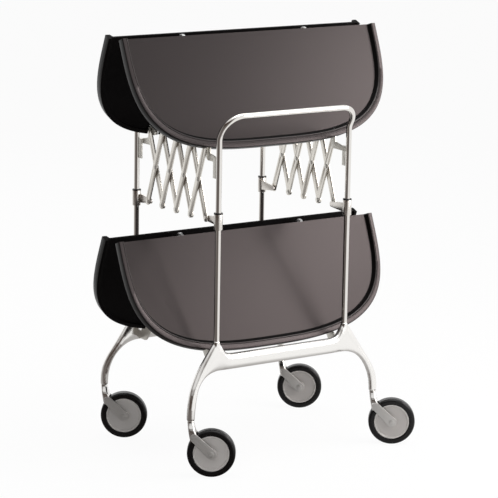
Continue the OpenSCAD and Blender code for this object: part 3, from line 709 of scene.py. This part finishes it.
def caster_points(points, hand_sign, end_sign):
    """Points drawn in millimetres with the swivel on Z, trailing to +X, put at one caster."""
    p = np.array(points, dtype=float).reshape(-1, 3)
    a = math.radians(TRAIL_TURN)
    leg_y = end_sign * (FRAME_Y + LEG_SPLAY)
    x = p[:, 0] * math.cos(a) - p[:, 1] * math.sin(a) + hand_sign * LEG_X
    y = p[:, 0] * math.sin(a) + p[:, 1] * math.cos(a) + leg_y + MIDDLE_Y
    return np.stack([x, y, p[:, 2]], axis=1) * MM


def round_axle(radius, across):
    """A circle about the axle."""
    return [(TRAIL + radius * math.cos(a), across, WHEEL_R + radius * math.sin(a))
            for a in np.linspace(0, 2 * math.pi, WHEEL_SIDES, endpoint=False)]


def turned(profile):
    """A closed ring turned about the axle from points of radius and place across."""
    n = len(profile)
    circles = [round_axle(r, w) for r, w in profile]
    verts = [circle[i] for i in range(WHEEL_SIDES) for circle in circles]
    faces = []
    for i in range(WHEEL_SIDES):
        here, there = i * n, (i + 1) % WHEEL_SIDES * n
        faces += [(here + k, here + (k + 1) % n, there + (k + 1) % n, there + k) for k in range(n)]
    return verts, faces


def arc(r0, w0, radius, start, end, steps):
    """Profile points on an arc between two angles in degrees."""
    return [(r0 + radius * math.cos(math.radians(a)), w0 + radius * math.sin(math.radians(a)))
            for a in np.linspace(start, end, steps)]


HALF_W, SHOULDER = TYRE_W / 2, 6
tyre_profile = [(37.52, -11.4), (38.3, -HALF_W + 0.3), (39.2, -HALF_W)]
tyre_profile += arc(WHEEL_R - SHOULDER, -HALF_W + SHOULDER, SHOULDER, -90, 0, 12)
tyre_profile += arc(WHEEL_R - SHOULDER, HALF_W - SHOULDER, SHOULDER, 0, 90, 12)
tyre_profile += [(39.2, HALF_W), (38.3, HALF_W - 0.3), (37.52, 11.4)]
disc_side = [(4.05, 13.1), (9.2, 13.1), (9.9, 12.7), (10.3, 12.0), (10.9, 8.6), (11.6, 8.0),
             (20, 8.3), (31.6, 9.3), (33.4, 9.7), (34.2, 10.3), (34.9, 11.2), (35.4, 11.5),
             (36.9, 11.5), (37.4, 11.2), (37.5, 10.8)]
disc_profile = disc_side + [(r, -w) for r, w in reversed(disc_side)]
side_count = len(disc_side)
bright_lines = {*range(side_count - 5, side_count - 1), *range(side_count, side_count + 4)}


def cheek_outline():
    """The flat arm from the crown to the hub, in the wheel's plane."""
    crown, crown_r, hub, hub_r = Vector((8, 84)), 8.5, Vector((TRAIL, WHEEL_R)), 10.5
    along = (hub - crown).normalized()
    bearing = math.atan2(along.y, along.x)
    open_angle = math.acos((crown_r - hub_r) / (hub - crown).length)
    ring = [hub + hub_r * Vector((math.cos(bearing + a), math.sin(bearing + a)))
            for a in np.linspace(-open_angle, open_angle, 30)]
    ring += [crown + crown_r * Vector((math.cos(bearing + a), math.sin(bearing + a)))
             for a in np.linspace(open_angle, 2 * math.pi - open_angle, 24)]
    return ring


for end, end_sign in (("front", -1), ("rear", 1)):
    for hand, hand_sign in (("left", -1), ("right", 1)):
        name = f"{end}_{hand}"
        rows = []
        for z, middle, half_long, half_wide, power in CROWN:
            rows.append([(middle + half_long * squared(math.cos(a), power),
                          half_wide * squared(math.sin(a), power), z)
                         for a in np.linspace(0, 2 * math.pi, 40, endpoint=False)])
        verts, faces = loft(rows)
        gap_verts, gap_faces = loft([round_axle(GAP_R, w) for w in (-CHEEK_IN, CHEEK_IN)])
        gap = new_piece("wheel_gap", caster_points(gap_verts, hand_sign, end_sign), gap_faces,
                        fork_polish)
        outward(gap)
        crown = melted(f"{name}_crown", [(caster_points(verts, hand_sign, end_sign), faces)],
                       CROWN_VOXEL, CROWN_BUFFING, fork_polish, cut=gap)
        bpy.data.objects.remove(gap)
        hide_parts(f"{name}_fork")
        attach(crown, f"{name}_caster")
        outline = cheek_outline()
        for flank, sign in (("near", -1), ("far", 1)):
            rows = [[(v.x, sign * w, v.y) for v in outline] for w in (CHEEK_IN, CHEEK_OUT)]
            verts, faces = loft(rows)
            cheek = new_piece(f"{name}_{flank}_cheek", caster_points(verts, hand_sign, end_sign),
                              faces, cheek_satin)
            outward(cheek)
            edge = cheek.modifiers.new("edge", "BEVEL")
            edge.width, edge.segments, edge.limit_method = 0.6 * MM, 3, "ANGLE"
            edge.angle_limit = math.radians(50)
            settle(cheek)
            smooth(cheek, 35)
            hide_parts(f"{name}_fork")
            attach(cheek, f"{name}_caster")
        dressed(f"{name}_axle", f"{name}_caster", cheek_satin, 0.4)
        verts, faces = turned(tyre_profile)
        tyre = new_piece(f"{name}_tyre_ring", caster_points(verts, hand_sign, end_sign), faces,
                         tyre_rubber)
        outward(tyre)
        smooth(tyre, 50)
        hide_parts(f"{name}_tyre")
        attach(tyre, f"{name}_wheel")
        verts, faces = turned(disc_profile)
        disc = new_piece(f"{name}_wheel_disc", caster_points(verts, hand_sign, end_sign), faces,
                         disc_grey, disc_edge)
        finishes = [int(k % len(disc_profile) in bright_lines) for k in range(len(faces))]
        disc.data.polygons.foreach_set("material_index", finishes)
        outward(disc)
        smooth(disc, 30)
        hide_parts(f"{name}_disc")
        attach(disc, f"{name}_wheel")
